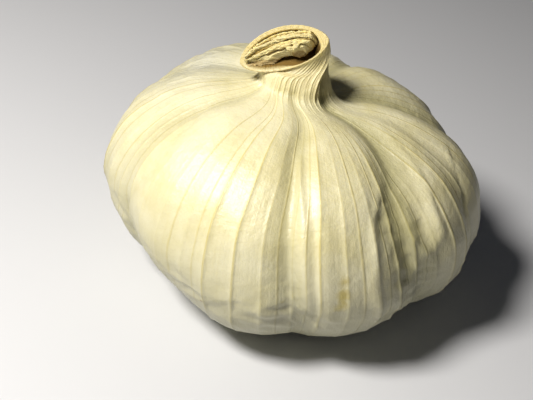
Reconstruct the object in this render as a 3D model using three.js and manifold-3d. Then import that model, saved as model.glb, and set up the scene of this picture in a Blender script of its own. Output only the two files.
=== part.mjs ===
// A whole garlic bulb, dried as it is sold: one papery skin drawn over the cloves and gathered into
// a short neck, which is twisted, bent over and cut, with the root plate underneath.
// Millimetres, +Z up. The origin is on the table, at the middle of the root plate's flat scar.
// The neck leans to -X and its cut mouth faces -Y.

import * as THREE from "three";
import { mergeVertices } from "three/addons/utils/BufferGeometryUtils.js";
import Module from "manifold-3d";

const wasm = await Module();
wasm.setup();

// The skin's cross sections, from the edge of the root plate up to the mouth of the neck: the middle
// of each, its half width and half depth, and how far it rolls to the left and pitches to the front.
const SECTIONS = [
  { x: 0, y: 0, z: 1.3, wide: 10.2, deep: 10.2, roll: 0, pitch: 0 },
  { x: 0, y: 0, z: 0.9, wide: 15.5, deep: 15.5, roll: 0, pitch: 0 },
  { x: 0, y: 0, z: 2.6, wide: 22.5, deep: 22.5, roll: 0, pitch: 0 },
  { x: 0, y: 0, z: 7.0, wide: 28.5, deep: 28.5, roll: 0, pitch: 0 },
  { x: 0, y: 0, z: 12.6, wide: 31.7, deep: 31.7, roll: 0, pitch: 0 },
  { x: 0, y: 0, z: 18.2, wide: 32.0, deep: 32.0, roll: 0, pitch: 0 },
  { x: 0, y: 0, z: 24.4, wide: 29.8, deep: 29.8, roll: 0, pitch: 0 },
  { x: 0, y: 0, z: 29.8, wide: 25.0, deep: 25.0, roll: 0, pitch: 0 },
  { x: -0.3, y: 0, z: 33.4, wide: 18.4, deep: 18.4, roll: 0, pitch: 0 },
  { x: -0.9, y: 0, z: 35.0, wide: 11.6, deep: 11.6, roll: 0, pitch: 0 },
  { x: -3.1, y: -0.3, z: 36.0, wide: 6.7, deep: 6.4, roll: 0, pitch: 0 },
  { x: -3.9, y: -0.5, z: 37.8, wide: 5.7, deep: 5.0, roll: 0, pitch: 3 },
  { x: -4.6, y: -0.6, z: 39.7, wide: 5.8, deep: 4.2, roll: 4, pitch: 12 },
  { x: -4.8, y: -0.8, z: 41.1, wide: 5.7, deep: 3.8, roll: 12, pitch: 30 },
  { x: -5.5, y: -1.6, z: 42.0, wide: 6.4, deep: 3.4, roll: 21, pitch: 48 },
  { x: -6.4, y: -2.6, z: 42.3, wide: 7.6, deep: 3.2, roll: 29.5, pitch: 61.7 },
];
const MOUTH = SECTIONS.length - 1;
const SHOULDER = 8.2;
const HOLLOW = 9.7;
const WAIST = 11.2;

// The cloves under the skin, by the azimuth where each starts: how far its crest, its shoulder and
// its foot stand out, and the depth, half width and downward drift of the furrow before it.
const CLOVES = [
  { start: -152, crest: 0.6, lift: 0.2, foot: -1.4, furrow: 1.2, spread: 9, drift: 0 },
  { start: -122, crest: 0.2, lift: 0.0, foot: 1.7, furrow: 0.25, spread: 8, drift: 0 },
  { start: -92, crest: 0.4, lift: -0.2, foot: 0.1, furrow: 1.5, spread: 7, drift: 2 },
  { start: -36, crest: 0.1, lift: -0.3, foot: 0.2, furrow: 2.7, spread: 12, drift: -13 },
  { start: -10, crest: 0.9, lift: -0.3, foot: 1.3, furrow: 0.8, spread: 8, drift: -6 },
  { start: 18, crest: -1.9, lift: 1.0, foot: 0.0, furrow: 2.4, spread: 10, drift: 0 },
  { start: 70, crest: -0.8, lift: 0.4, foot: 0.0, furrow: 1.6, spread: 9, drift: 5 },
  { start: 112, crest: 0.2, lift: 0.5, foot: 0.0, furrow: 1.6, spread: 9, drift: -5 },
  { start: 160, crest: 0.7, lift: -0.4, foot: -1.6, furrow: 1.4, spread: 9, drift: 4 },
];
const FURROW_EDGE = 1.6;
const DRIFT_FROM = 8.8;
const DRIFT_TO = 6.4;
const FURROW_AT_SHOULDER = 0.55;
const HOLLOW_DEPTH = 1.8;
const HOLLOW_SIDE = 45;

// The skin's veins run the whole way from foot to mouth. They lean a little on the body, and wind
// round the neck with its twist, where they crowd into pleats.
const VEINS = 44;
const VEIN_HEIGHT = 0.32;
const VEIN_HALF_WIDTH = 0.13;
const LEAN = 8;
const NECK_TWIST = 64;
const SKIN_WALL = 0.8;

// Where the neck is bent over, its twisted front is pressed into a sharp fold with a groove beside it.
const FOLD_AZIMUTH = -56;
const FOLD_WIDTH = 13;
const FOLD_HEIGHT = 0.7;

// The cut mouth is an almond, bowed a little upwards, its lower lip less than the upper one, and the
// neck is hollow down to its floor.
const MOUTH_BOW = 0.7;
const LOWER_LIP_SHARE = 0.3;
const MOUTH_FLOOR = MOUTH - 1.05;

// The root plate: a corky disc with a flat scar, and the stubs of the trimmed roots round it.
const PLATE_TOP = 2.0;
const PLATE_RADIUS = 8.9;
const SCAR_RADIUS = 5.2;
const ROOTS = 60;
const ROOT_RADIUS = 0.48;

// The shallow recess under the bulb that the root plate sits in.
const RECESS_RADIUS = 9.4;
const RECESS_HEIGHT = PLATE_TOP + 0.35;

// A repeatable random draw from 0 to 1.
function seeded(seed) {
  let state = seed;
  return () => {
    state = (state * 16807) % 2147483647;
    return state / 2147483647;
  };
}

// 0 below low, 1 above high, and smooth between them.
function smooth(low, high, x) {
  return THREE.MathUtils.smoothstep(x, low, high);
}

// The section at a place along the skin, on one smooth curve through all of them.
function sectionAt(along) {
  const i = Math.min(Math.floor(along), MOUTH - 1);
  const t = along - i;
  const near = [i - 1, i, i + 1, i + 2].map((k) => SECTIONS[THREE.MathUtils.clamp(k, 0, MOUTH)]);
  const blend = (key) => {
    const [a, b, c, d] = near.map((section) => section[key]);
    const [start, end] = [(c - a) / 2, (d - b) / 2];
    const cubic = 2 * b - 2 * c + start + end;
    const square = 3 * c - 3 * b - 2 * start - end;
    return ((cubic * t + square) * t + start) * t + b;
  };
  return Object.fromEntries(Object.keys(SECTIONS[0]).map((key) => [key, blend(key)]));
}

// A clove's value at an azimuth, passing smoothly from the middle of one clove to the next.
function cloveValue(azimuth, key) {
  const middles = CLOVES.map((clove, k) => {
    const next = CLOVES[(k + 1) % CLOVES.length].start + (k + 1 === CLOVES.length ? 360 : 0);
    return (clove.start + next) / 2;
  });
  const turned = THREE.MathUtils.euclideanModulo(azimuth - middles[0], 360) + middles[0];
  const k = middles.findLastIndex((middle) => middle <= turned);
  const after = (k + 1) % CLOVES.length;
  const end = k + 1 === CLOVES.length ? middles[0] + 360 : middles[k + 1];
  return THREE.MathUtils.lerp(CLOVES[k][key], CLOVES[after][key], smooth(middles[k], end, turned));
}

// How deep the skin sinks between the cloves at a place on it.
function furrowDepth(azimuth, along) {
  return CLOVES.reduce((depth, clove) => {
    const start = clove.start + clove.drift * (1 - smooth(DRIFT_TO, DRIFT_FROM, along));
    const away = Math.abs(THREE.MathUtils.euclideanModulo(azimuth - start + 180, 360) - 180);
    return depth + clove.furrow * Math.exp(-((away / clove.spread) ** FURROW_EDGE));
  }, 0);
}

// A ring's middle and its two axes, in space.
function ringFrame(section) {
  const tilt = new THREE.Matrix4()
    .makeRotationY(-THREE.MathUtils.degToRad(section.roll))
    .multiply(new THREE.Matrix4().makeRotationX(THREE.MathUtils.degToRad(section.pitch)));
  const [across, deep, out] = [new THREE.Vector3(), new THREE.Vector3(), new THREE.Vector3()];
  tilt.extractBasis(across, deep, out);
  return { middle: new THREE.Vector3(section.x, section.y, section.z), across, deep, out };
}

// How far the middle of a section is bowed towards its back.
function bowAt(along) {
  return MOUTH_BOW * smooth(13, MOUTH, along);
}

// How far the fold in the neck stands out, and the groove beside it sinks.
function foldHeight(azimuth, along) {
  const away = (THREE.MathUtils.euclideanModulo(azimuth - FOLD_AZIMUTH + 180, 360) - 180) / FOLD_WIDTH;
  const bump = Math.exp(-(away ** 2)) - Math.exp(-((away - 1.7) ** 2));
  return FOLD_HEIGHT * bump * smooth(10, 11.5, along) * (1 - smooth(13.4, 14.6, along));
}

// The skin's point at an azimuth and a place along it, standing out by a vein's height, or sunk in.
function skinPoint(azimuth, along, raised) {
  const section = sectionAt(along);
  const frame = ringFrame(section);
  const lobes = smooth(0.3, 2.6, along) * (1 - smooth(8.6, WAIST, along));
  const foot = smooth(0.5, 2, along) * (1 - smooth(3, 5.5, along));
  const shoulder = Math.exp(-(((along - SHOULDER) / 1.5) ** 2));
  const hollow = Math.exp(-(((along - HOLLOW) / 0.7) ** 2));
  const wander = 3 * Math.sin(1.1 * (along - 5));
  const hollowSide = 0.5 + 0.5 * Math.cos(THREE.MathUtils.degToRad(azimuth - HOLLOW_SIDE));
  const crest = cloveValue(azimuth, "crest") - furrowDepth(azimuth + wander, along);
  const stand = lobes * crest + foot * cloveValue(azimuth, "foot") + foldHeight(azimuth, along) + raised;
  const rise =
    shoulder * (cloveValue(azimuth, "lift") - FURROW_AT_SHOULDER * furrowDepth(azimuth, along)) -
    HOLLOW_DEPTH * hollow * hollowSide;
  const turn = THREE.MathUtils.degToRad(
    azimuth + LEAN * (1 - smooth(2, 8, along)) + NECK_TWIST * smooth(9.8, 17, along),
  );
  const pinch = Math.abs(Math.sin(turn)) ** (0.15 * smooth(WAIST, 13.5, along));
  const bowShare = Math.sin(turn) > 0 ? 1 : LOWER_LIP_SHARE;
  const bow = bowShare * bowAt(along) * Math.sin(turn) ** 2;
  return frame.middle
    .clone()
    .add(new THREE.Vector3(0, 0, rise))
    .addScaledVector(frame.across, (section.wide + stand) * Math.cos(turn))
    .addScaledVector(frame.deep, (section.deep + stand) * Math.sin(turn) * pinch + bow);
}

// The rows of the skin, from the floor of the mouth out over its lip, down the outside to the foot,
// and in under the bulb to the middle of the root plate's recess.
function skinRows() {
  const inside = [
    { along: MOUTH_FLOOR, inset: Infinity },
    { along: MOUTH_FLOOR, inset: SKIN_WALL + 0.15 },
    { along: MOUTH - 0.5, inset: SKIN_WALL + 0.05 },
    { along: MOUTH, inset: SKIN_WALL },
  ];
  const outside = [];
  for (let along = MOUTH; along >= 0; along -= 0.5) outside.push({ along, inset: 0 });
  return [...inside, ...outside, { along: -1, inset: 0 }, { along: -1, inset: Infinity }];
}

// The skin as one closed surface: a sphere's grid of columns and rows, laid over the cloves.
function bulbGeometry() {
  const rows = skinRows();
  const draw = seeded(11);
  const shifts = Array.from({ length: VEINS }, () => 0.3 * (draw() - 0.5));
  const columns = 3 * VEINS;
  const geometry = new THREE.SphereGeometry(1, columns, rows.length - 1);
  const position = geometry.getAttribute("position");
  for (let n = 0; n < position.count; n += 1) {
    const column = (n % (columns + 1)) % columns;
    const { along, inset } = rows[Math.floor(n / (columns + 1))];
    const vein = Math.floor(column / 3);
    const side = (column % 3) - 1;
    const halfWidth = THREE.MathUtils.lerp(VEIN_HALF_WIDTH, 1 / 3, smooth(8, 11.5, along));
    const azimuth = ((vein + shifts[vein] * (1 - smooth(9, 12, along)) + side * halfWidth) * 360) / VEINS;
    position.setXYZ(n, ...skinVertex(azimuth, along, inset, side === 0));
  }
  return solidGeometry(geometry);
}

// One vertex of the skin. A row with no end to its inset is a pole, and a row below the foot is the
// rim of the root plate's recess.
function skinVertex(azimuth, along, inset, onVein) {
  if (along < 0) {
    const reach = inset === Infinity ? 0 : RECESS_RADIUS;
    const turn = THREE.MathUtils.degToRad(azimuth + LEAN);
    return [reach * Math.cos(turn), reach * Math.sin(turn), RECESS_HEIGHT];
  }
  if (inset === Infinity) {
    const frame = ringFrame(sectionAt(along));
    return frame.middle.addScaledVector(frame.deep, bowAt(along)).toArray();
  }
  const fade = smooth(0, 1.5, along) * (1 - 0.7 * smooth(13.5, MOUTH, along));
  const vein = onVein && inset === 0 ? VEIN_HEIGHT * fade : 0;
  return skinPoint(azimuth, along, vein - inset).toArray();
}

// Only the positions, with shared vertices joined, as a closed body needs.
function solidGeometry(geometry) {
  const bare = new THREE.BufferGeometry()
    .setAttribute("position", geometry.getAttribute("position"))
    .setIndex(geometry.index);
  return mergeVertices(bare, 1e-4);
}

function toManifold(geometry) {
  const merged = solidGeometry(geometry);
  return new wasm.Manifold(
    new wasm.Mesh({
      numProp: 3,
      vertProperties: new Float32Array(merged.getAttribute("position").array),
      triVerts: new Uint32Array(merged.index.array),
    }),
  );
}

function fromManifold(manifold) {
  const mesh = manifold.getMesh();
  return new THREE.BufferGeometry()
    .setAttribute("position", new THREE.BufferAttribute(new Float32Array(mesh.vertProperties), 3))
    .setIndex(new THREE.BufferAttribute(new Uint32Array(mesh.triVerts), 1));
}

// Dried inner leaves fill the mouth: folded layers, each a waved band across it, standing out by a
// different amount, round the dry end of the flower stalk. They are one mass at the mouth's floor.
const LEAF_THICKNESS = 0.64;
const LEAVES = [
  { from: -5.5, to: 4.3, level: 1.5, swing: 0.06, waves: 3, out: 0.35 },
  { from: -5.4, to: 3.4, level: 0.75, swing: 0.16, waves: 2.4, out: 0.8 },
  { from: -5.9, to: 0.6, level: -0.5, swing: 0.1, waves: 2, out: 0.6 },
  { from: 1.6, to: 5.4, level: 0.7, swing: 0.2, waves: 1.2, out: 0.1 },
];
const LEAF_SPAN = 6.4;
const LEAF_CLEARANCE = 0.3;
const STALK = { x: 1.3, y: 0.2, radius: 1.25, hole: 0.3, out: 0.9 };

// A point given in the mouth's own plane, carried down the bent neck by its share of the depth.
function inNeck(x, y, depth, out) {
  const mouth = SECTIONS[MOUTH];
  const along = MOUTH - depth * (MOUTH - MOUTH_FLOOR - LEAF_CLEARANCE);
  const section = sectionAt(along);
  const frame = ringFrame(section);
  const bow = bowAt(along) * Math.max(0, 1 - (x / (mouth.wide - SKIN_WALL)) ** 2);
  return frame.middle
    .clone()
    .addScaledVector(frame.across, (x * section.wide) / mouth.wide)
    .addScaledVector(frame.deep, (y * section.deep) / mouth.deep + bow)
    .addScaledVector(frame.out, out * (1 - depth));
}

// How much of the mouth's height is left at a place across it: it narrows to a point at each end.
function almond(x) {
  return Math.max(0, 1 - (x / LEAF_SPAN) ** 2) ** 0.6;
}

// A flat outline in the mouth's plane, made solid down the neck: top at the cut, foot at a depth.
function downNeck(outline, top, foot, out, steps) {
  const geometry = new THREE.ExtrudeGeometry(outline, { depth: 1, steps, bevelEnabled: false });
  const position = geometry.getAttribute("position");
  for (let n = 0; n < position.count; n += 1) {
    const [x, y] = [position.getX(n), position.getY(n)];
    const depth = THREE.MathUtils.lerp(foot, top, position.getZ(n));
    position.setXYZ(n, ...inNeck(x, y, depth, out).toArray());
  }
  return toManifold(indexed(geometry));
}

// One layer: a waved band, thinner towards its ends.
function leafLayer(leaf) {
  const steps = 16;
  const line = (side) =>
    Array.from({ length: steps + 1 }, (_, i) => {
      const t = i / steps;
      const x = THREE.MathUtils.lerp(leaf.from, leaf.to, t);
      const wave = leaf.swing * Math.sin(2 * Math.PI * leaf.waves * t);
      const half = 0.5 * LEAF_THICKNESS * (1 - 0.3 * (2 * t - 1) ** 4);
      return new THREE.Vector2(x, (leaf.level + wave) * almond(x) + side * half);
    });
  return downNeck(new THREE.Shape([...line(-1), ...line(1).reverse()]), 0, 0.6, leaf.out, 2);
}

// The dry end of the flower stalk: a crumpled round lump with a small hole.
function stalkEnd() {
  const ring = (radius, folds) =>
    Array.from({ length: 22 }, (_, i) => {
      const turn = (2 * Math.PI * i) / 22;
      const reach = radius * (1 + folds * Math.sin(5 * turn + 1));
      const [across, deep] = [1.15 * reach * Math.cos(turn), 0.85 * reach * Math.sin(turn)];
      return new THREE.Vector2(STALK.x + across, STALK.y + deep);
    });
  const outline = new THREE.Shape(ring(STALK.radius, 0.09));
  const hole = downNeck(new THREE.Shape(ring(STALK.hole, 0)), -0.3, 0.3, STALK.out, 1);
  return downNeck(outline, 0, 0.6, STALK.out, 2).subtract(hole);
}

// The mass at the bottom of the mouth, where the layers have dried together.
function leafCore() {
  const steps = 12;
  const line = (side) =>
    Array.from({ length: steps + 1 }, (_, i) => {
      const x = 8 * (i / steps - 0.5);
      return new THREE.Vector2(x, (0.55 + side) * almond(x));
    });
  return downNeck(new THREE.Shape([...line(-1), ...line(1).reverse()]), 0.35, 1, 0, 2);
}

function indexed(geometry) {
  const position = geometry.getAttribute("position");
  geometry.setIndex(Array.from({ length: position.count }, (_, i) => i));
  return geometry;
}

// The bunch as one body. Its largest shell is its outside, so gaps sealed between two layers are filled.
function neckLeavesGeometry() {
  const bunch = [leafCore(), ...LEAVES.map(leafLayer)].reduce((sum, layer) => sum.add(layer), stalkEnd());
  const shells = bunch.decompose().sort((a, b) => b.volume() - a.volume());
  return fromManifold(shells[0]);
}

// The root plate's disc: flat scar, sloping edge, flat top.
function plateDisc() {
  const profile = [
    [0, 0],
    [SCAR_RADIUS, 0],
    [SCAR_RADIUS + 1.2, 0.5],
    [PLATE_RADIUS - 0.4, 1.1],
    [PLATE_RADIUS, 1.5],
    [PLATE_RADIUS - 0.3, PLATE_TOP],
    [0, PLATE_TOP],
  ].map(([radius, height]) => new THREE.Vector2(radius, height));
  return new THREE.LatheGeometry(profile, 36).rotateX(Math.PI / 2);
}

// The stub of one trimmed root, from inside the plate down and a little outwards.
function rootStub(azimuth, radius, splay, foot) {
  const outwards = new THREE.Vector3(Math.cos(azimuth), Math.sin(azimuth), 0);
  const top = outwards.clone().multiplyScalar(radius).setZ(PLATE_TOP - 0.5);
  const end = outwards.clone().multiplyScalar(radius + splay).setZ(foot);
  const length = top.distanceTo(end);
  const stub = new THREE.CylinderGeometry(ROOT_RADIUS, 0.8 * ROOT_RADIUS, length, 5);
  const turn = new THREE.Quaternion().setFromUnitVectors(
    new THREE.Vector3(0, 1, 0),
    top.clone().sub(end).normalize(),
  );
  return stub.applyQuaternion(turn).translate(...top.clone().add(end).multiplyScalar(0.5).toArray());
}

// The stubs stand in the whorls of a sunflower's rule, in the ring between the scar and the edge.
function rootPlateGeometry() {
  const draw = seeded(5);
  const goldenAngle = Math.PI * (3 - Math.sqrt(5));
  let plate = toManifold(plateDisc());
  for (let n = 0; n < ROOTS; n += 1) {
    const share = Math.sqrt((n + 0.5) / ROOTS);
    const radius = THREE.MathUtils.lerp(SCAR_RADIUS + 0.7, PLATE_RADIUS - 0.8, share);
    const stub = rootStub(n * goldenAngle, radius, 0.3 * draw(), 0.3 + 0.35 * draw());
    plate = plate.add(toManifold(stub));
  }
  return fromManifold(plate);
}

function node(name, geometry, color, roughness) {
  const mesh = new THREE.Mesh(geometry, new THREE.MeshStandardMaterial({ color, roughness, metalness: 0 }));
  mesh.name = name;
  return mesh;
}

const garlic = new THREE.Group();
garlic.add(
  node("bulb", bulbGeometry(), "#efe9c9", 0.55),
  node("neck_leaves", neckLeavesGeometry(), "#d9bf7c", 0.8),
  node("root_plate", rootPlateGeometry(), "#a58f68", 0.9),
);

export default garlic;
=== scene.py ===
import math
import random

import bpy
import numpy as np
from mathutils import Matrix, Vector, noise


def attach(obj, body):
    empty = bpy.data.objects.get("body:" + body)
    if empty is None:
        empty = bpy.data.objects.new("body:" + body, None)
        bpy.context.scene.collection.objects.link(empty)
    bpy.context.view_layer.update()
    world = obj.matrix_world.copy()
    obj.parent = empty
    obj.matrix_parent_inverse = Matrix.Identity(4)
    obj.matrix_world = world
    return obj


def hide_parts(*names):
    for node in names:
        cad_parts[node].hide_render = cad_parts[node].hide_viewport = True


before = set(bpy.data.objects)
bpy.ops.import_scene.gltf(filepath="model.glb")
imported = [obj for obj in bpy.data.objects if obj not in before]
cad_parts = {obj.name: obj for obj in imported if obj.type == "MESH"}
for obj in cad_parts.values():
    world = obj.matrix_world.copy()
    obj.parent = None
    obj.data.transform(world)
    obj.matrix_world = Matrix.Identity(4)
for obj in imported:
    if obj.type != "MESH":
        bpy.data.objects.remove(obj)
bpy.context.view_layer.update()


# The viewpoint: a camera close above the table, looking down by 34 degrees, and tilted, so the bulb
# stands leaning a little to the right in the picture. Its distance sets the strong foreshortening.
AIM = Vector((-0.00413, 0.0, 0.01176))
CAMERA_DISTANCE = 0.2
CAMERA_ELEVATION = math.radians(34)
CAMERA_TILT = math.radians(12)

backwards = Vector((0, -math.cos(CAMERA_ELEVATION), math.sin(CAMERA_ELEVATION)))
camera_data = bpy.data.cameras.new("viewpoint")
camera_data.lens = 76.45
camera_data.sensor_width = 36
camera_data.clip_start = 0.01
camera = bpy.data.objects.new("viewpoint", camera_data)
bpy.context.scene.collection.objects.link(camera)
camera.location = AIM + CAMERA_DISTANCE * backwards
camera.rotation_euler = backwards.to_track_quat("Z", "Y").to_euler()
camera.rotation_euler.rotate_axis("Z", CAMERA_TILT)
bpy.context.scene.camera = camera


# The papery skin: the dry white coats that wrap the whole bulb, drawn tight over the cloves and
# gathered into the neck, which is twisted, bent over and cut. One closed sheet, laid over the same
# cross sections as the solid. Lengths are in millimetres, up to where the points are placed.
MILLIMETRE = 0.001
SECTION_KEYS = ["x", "y", "z", "wide", "deep", "roll", "pitch"]
SECTIONS = np.array([
    (0, 0, 1.3, 10.2, 10.2, 0, 0),
    (0, 0, 0.9, 15.5, 15.5, 0, 0),
    (0, 0, 2.6, 22.5, 22.5, 0, 0),
    (0, 0, 7.0, 28.5, 28.5, 0, 0),
    (0, 0, 12.6, 31.7, 31.7, 0, 0),
    (0, 0, 18.2, 32.0, 32.0, 0, 0),
    (0, 0, 24.4, 29.8, 29.8, 0, 0),
    (0, 0, 29.8, 25.0, 25.0, 0, 0),
    (-0.3, 0, 33.4, 18.4, 18.4, 0, 0),
    (-0.9, 0, 35.0, 11.6, 11.6, 0, 0),
    (-3.1, -0.3, 36.0, 6.7, 6.4, 0, 0),
    (-3.9, -0.5, 37.8, 5.7, 5.0, 0, 3),
    (-4.6, -0.6, 39.7, 5.8, 4.2, 4, 12),
    (-4.8, -0.8, 41.1, 5.7, 3.8, 12, 30),
    (-5.5, -1.6, 42.0, 6.4, 3.4, 21, 48),
    (-6.4, -2.6, 42.3, 7.6, 3.2, 29.5, 61.7),
])
MOUTH = len(SECTIONS) - 1
SHOULDER = 8.2
HOLLOW = 9.7
WAIST = 11.2

CLOVES = [
    {"start": -152, "crest": 0.6, "lift": 0.2, "foot": -1.4, "furrow": 1.2, "spread": 9, "drift": 0},
    {"start": -122, "crest": 0.2, "lift": 0.0, "foot": 1.7, "furrow": 0.25, "spread": 8, "drift": 0},
    {"start": -92, "crest": 0.4, "lift": -0.2, "foot": 0.1, "furrow": 1.5, "spread": 7, "drift": 2},
    {"start": -36, "crest": 0.1, "lift": -0.3, "foot": 0.2, "furrow": 2.7, "spread": 12, "drift": -13},
    {"start": -10, "crest": 0.9, "lift": -0.3, "foot": 1.3, "furrow": 0.8, "spread": 8, "drift": -6},
    {"start": 18, "crest": -1.9, "lift": 1.0, "foot": 0.0, "furrow": 2.4, "spread": 10, "drift": 0},
    {"start": 70, "crest": -0.8, "lift": 0.4, "foot": 0.0, "furrow": 1.6, "spread": 9, "drift": 5},
    {"start": 112, "crest": 0.2, "lift": 0.5, "foot": 0.0, "furrow": 1.6, "spread": 9, "drift": -5},
    {"start": 160, "crest": 0.7, "lift": -0.4, "foot": -1.6, "furrow": 1.4, "spread": 9, "drift": 4},
]
FURROW_EDGE = 1.6
FURROW_FULL_SHADE = 2.5
FURROW_AT_SHOULDER = 0.55
HOLLOW_DEPTH = 1.8
HOLLOW_SIDE = 45

VEINS = 44
VEIN_HALF_WIDTH = 0.06
MINOR_VEIN_SAG = 0.045
LEAN = 8
NECK_TWIST = 64
MOUTH_BOW = 0.7
LOWER_LIP_SHARE = 0.3
MOUTH_FLOOR = MOUTH - 2.2
SKIN_WALL = 0.7
RECESS_RADIUS = 9.4
RECESS_HEIGHT = 2.35
FOLD_AZIMUTH = -56
FOLD_WIDTH = 13
FOLD_HEIGHT = 0.7
TUCK_AZIMUTH = -150
TUCK_WIDTH = 26
TUCK_DEPTH = 0.75

# Where a vein's columns of points lie, as shares of the distance from one vein to the next: close
# together on the vein, wide apart on the paper between.
VEIN_COLUMNS = [-0.5, -0.36, -0.22, -0.12, -0.055, 0, 0.055, 0.12, 0.22, 0.36]


def smooth(low, high, x):
    """A soft step from 0 at low to 1 at high."""
    t = np.clip((x - low) / (high - low), 0, 1)
    return t * t * (3 - 2 * t)


def section_at(along):
    """The cross section at a place along the skin, with a smooth curve through those listed."""
    last = len(SECTIONS) - 1
    i = np.minimum(np.floor(along).astype(int), last - 1)
    t = (along - i)[..., None]
    a, b, c, d = (SECTIONS[np.clip(i + step, 0, last)] for step in (-1, 0, 1, 2))
    start = (c - a) / 2
    end = (d - b) / 2
    cubic = 2 * b - 2 * c + start + end
    square = 3 * c - 3 * b - 2 * start - end
    values = ((cubic * t + square) * t + start) * t + b
    return {key: values[..., k] for k, key in enumerate(SECTION_KEYS)}


def clove_value(azimuth, key):
    """A value of the cloves, blended from the middle of one to the middle of the next."""
    starts = np.array([clove["start"] for clove in CLOVES], float)
    ends = np.append(starts[1:], starts[0] + 360)
    middles = (starts + ends) / 2
    middles = np.append(middles, middles[0] + 360)
    values = np.array([clove[key] for clove in CLOVES] + [CLOVES[0][key]])
    turned = (azimuth - middles[0]) % 360 + middles[0]
    k = np.clip(np.searchsorted(middles, turned, side="right") - 1, 0, len(CLOVES) - 1)
    share = smooth(0, 1, (turned - middles[k]) / (middles[k + 1] - middles[k]))
    return values[k] + (values[k + 1] - values[k]) * share


def turned_from(azimuth, start):
    return (azimuth - start + 180) % 360 - 180


def wandering(azimuth, along):
    """The azimuth as the furrows take it, since they wander to either side on their way up."""
    return azimuth + 3 * np.sin(1.1 * (along - 5))


def furrow_depth(azimuth, along):
    depth = np.zeros(np.broadcast(azimuth, along).shape)
    for clove in CLOVES:
        start = clove["start"] + clove["drift"] * (1 - smooth(6.4, 8.8, along))
        away = np.abs(turned_from(azimuth, start))
        depth += clove["furrow"] * np.exp(-(away / clove["spread"]) ** FURROW_EDGE)
    return depth


def twist_at(along):
    return NECK_TWIST * smooth(9.8, 17, along)


def bow_at(along):
    return MOUTH_BOW * smooth(13, MOUTH, along)


def ring_axes(section):
    """The directions across a section, over its depth and out of it."""
    roll = np.radians(section["roll"])
    pitch = np.radians(section["pitch"])
    zero = np.zeros_like(roll)
    across = np.stack([np.cos(roll), zero, np.sin(roll)], -1)
    upright = np.stack([-np.sin(roll), zero, np.cos(roll)], -1)
    front = np.array([0.0, 1.0, 0.0])
    deep = front * np.cos(pitch)[..., None] + upright * np.sin(pitch)[..., None]
    out = upright * np.cos(pitch)[..., None] - front * np.sin(pitch)[..., None]
    return across, deep, out


def fold_height(azimuth, along):
    away = turned_from(azimuth, FOLD_AZIMUTH) / FOLD_WIDTH
    bump = np.exp(-away ** 2) - np.exp(-(away - 1.7) ** 2)
    return FOLD_HEIGHT * bump * smooth(10, 11.5, along) * (1 - smooth(13.4, 14.6, along))


def lip_tuck(azimuth, along):
    """How far the front of the neck is drawn in under the lower lip, which hangs over it."""
    side = np.exp(-(turned_from(azimuth, TUCK_AZIMUTH) / TUCK_WIDTH) ** 2)
    return TUCK_DEPTH * side * smooth(11, 12.2, along) * (1 - smooth(14.3, 14.95, along))


def skin_points(azimuth, along, raised):
    section = section_at(along)
    across, deep, out = ring_axes(section)
    lobes = smooth(0.3, 2.6, along) * (1 - smooth(8.6, WAIST, along))
    foot = smooth(0.5, 2, along) * (1 - smooth(3, 5.5, along))
    shoulder = np.exp(-((along - SHOULDER) / 1.5) ** 2)
    hollow = np.exp(-((along - HOLLOW) / 0.7) ** 2)
    hollow_side = 0.5 + 0.5 * np.cos(np.radians(azimuth - HOLLOW_SIDE))
    crest = clove_value(azimuth, "crest") - furrow_depth(wandering(azimuth, along), along)
    stand = lobes * crest + foot * clove_value(azimuth, "foot")
    stand = stand + fold_height(azimuth, along) + raised - lip_tuck(azimuth, along)
    shoulder_furrow = FURROW_AT_SHOULDER * furrow_depth(azimuth, along)
    rise = shoulder * (clove_value(azimuth, "lift") - shoulder_furrow)
    rise = rise - HOLLOW_DEPTH * hollow * hollow_side
    turn = np.radians(azimuth + LEAN * (1 - smooth(2, 8, along)) + twist_at(along))
    pinch = np.abs(np.sin(turn)) ** (0.15 * smooth(WAIST, 13.5, along))
    bow_share = np.where(np.sin(turn) > 0, 1, LOWER_LIP_SHARE)
    bow = bow_share * bow_at(along) * np.sin(turn) ** 2
    middle = np.stack([section["x"], section["y"], section["z"] + rise], -1)
    reach_across = (section["wide"] + stand) * np.cos(turn)
    reach_deep = (section["deep"] + stand) * np.sin(turn) * pinch + bow
    return middle + across * reach_across[..., None] + deep * reach_deep[..., None]


# Single features of this bulb's skin that follow the veins: their path as places along the skin and
# azimuths, their half width in degrees and their height, or depth if negative.
FEATURES = [
    {"along": (4.4, 5.4, 6.6, 8.2), "azimuth": (-85, -86, -87, -91), "half": 1.5, "height": 0.75},
    {"along": (4.5, 5.6, 7.0, 8.2), "azimuth": (-90, -91, -92, -96), "half": 2.4, "height": -0.75},
    {"along": (3.6, 6.4, 8.4), "azimuth": (-80, -80, -84), "half": 2.4, "height": 0.4},
    {"along": (6.0, 6.7, 7.4, 8.2, 8.8), "azimuth": (-39, -37, -33, -27, -21), "half": 2.0,
     "height": 0.7},
    {"along": (4.0, 5.2, 6.6, 7.4), "azimuth": (-64, -66, -63, -56), "half": 1.6, "height": 0.5},
    {"along": (3.6, 5.0, 6.5), "azimuth": (-50, -50, -47), "half": 1.8, "height": 0.45},
    {"along": (4.4, 5.6, 7.4), "azimuth": (-20, -20, -10), "half": 1.8, "height": -0.4},
    {"along": (4.4, 6.1, 7.4, 8.6), "azimuth": (-153, -143, -145, -166), "half": 2.4, "height": -0.4},
    {"along": (3.5, 3.9, 4.3, 4.7), "azimuth": (-81, -84, -87, -90), "half": 0.8, "height": 0.35},
    {"along": (3.4, 3.8, 4.2), "azimuth": (-86, -89, -93), "half": 0.8, "height": 0.3},
]

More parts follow.
